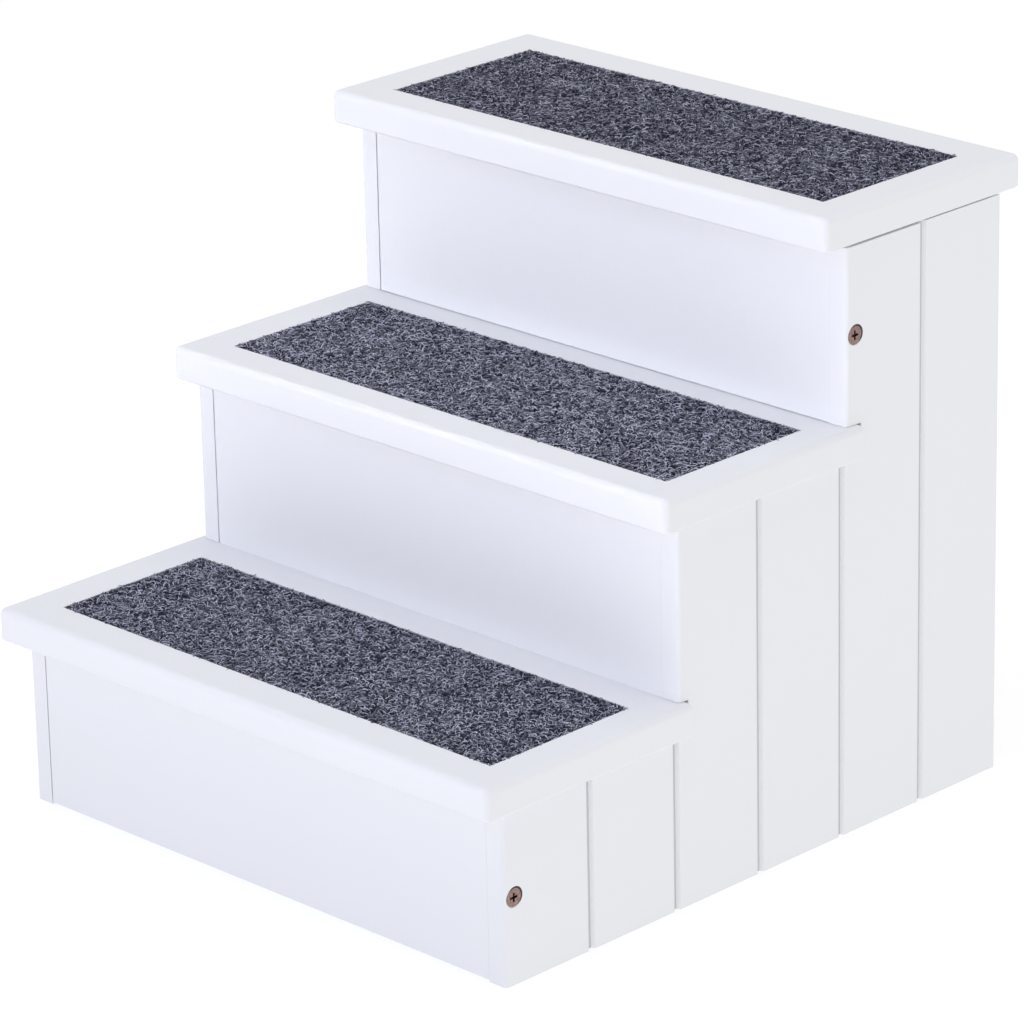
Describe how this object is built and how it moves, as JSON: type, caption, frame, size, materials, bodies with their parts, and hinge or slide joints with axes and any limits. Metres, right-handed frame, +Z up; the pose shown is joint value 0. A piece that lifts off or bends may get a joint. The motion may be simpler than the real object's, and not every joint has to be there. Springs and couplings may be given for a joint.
{
  "type": "pet stairs",
  "caption": "Free-standing white painted flight of steps for a cat or dog, with grooved side panels, closed risers and dark carpet let into each tread.",
  "frame": {"origin": "on the floor, below the middle of the outline of the whole flight", "axes": "+X across the steps, to the right for someone facing the front; +Y from the front step to the back; +Z up"},
  "size_m": [0.402, 0.446, 0.3783],
  "materials": {
    "white_paint": "smooth satin white paint on fibreboard",
    "carpet": "short needle-punched pile in mixed dark blue grey and light grey fibres",
    "bolt_bronze": "antique bronze plating, worn bright on the edges of the recess",
    "fitting_zinc": "dull zinc plating",
    "beech": "plain unfinished beech"
  },
  "bodies": {
    "root": {"back_rail_lower": "white_paint", "back_rail_upper": "white_paint", "barrel_nuts_lower": "fitting_zinc", "barrel_nuts_upper": "fitting_zinc", "carpet_lower": "carpet", "carpet_middle": "carpet", "carpet_upper": "carpet", "rail_cam_bolts_lower": "fitting_zinc", "rail_cam_bolts_upper": "fitting_zinc", "rail_cams_lower": "fitting_zinc", "rail_cams_upper": "fitting_zinc", "rail_dowels_lower": "beech", "rail_dowels_upper": "beech", "riser_cam_bolts_middle": "fitting_zinc", "riser_cams_middle": "fitting_zinc", "riser_dowels_lower": "beech", "riser_dowels_middle": "beech", "riser_dowels_upper": "beech", "riser_lower": "white_paint", "riser_middle": "white_paint", "riser_upper": "white_paint", "side_bolts_lower": "bolt_bronze", "side_bolts_upper": "bolt_bronze", "side_panel_left": "white_paint", "side_panel_right": "white_paint", "tread_cam_bolts_lower": "fitting_zinc", "tread_cam_bolts_middle": "fitting_zinc", "tread_cam_bolts_upper": "fitting_zinc", "tread_cams_lower": "fitting_zinc", "tread_cams_middle": "fitting_zinc", "tread_cams_upper": "fitting_zinc", "tread_dowels_lower": "beech", "tread_dowels_middle": "beech", "tread_dowels_upper": "beech", "tread_lower": "white_paint", "tread_middle": "white_paint", "tread_upper": "white_paint"}
  },
  "joints": []
}
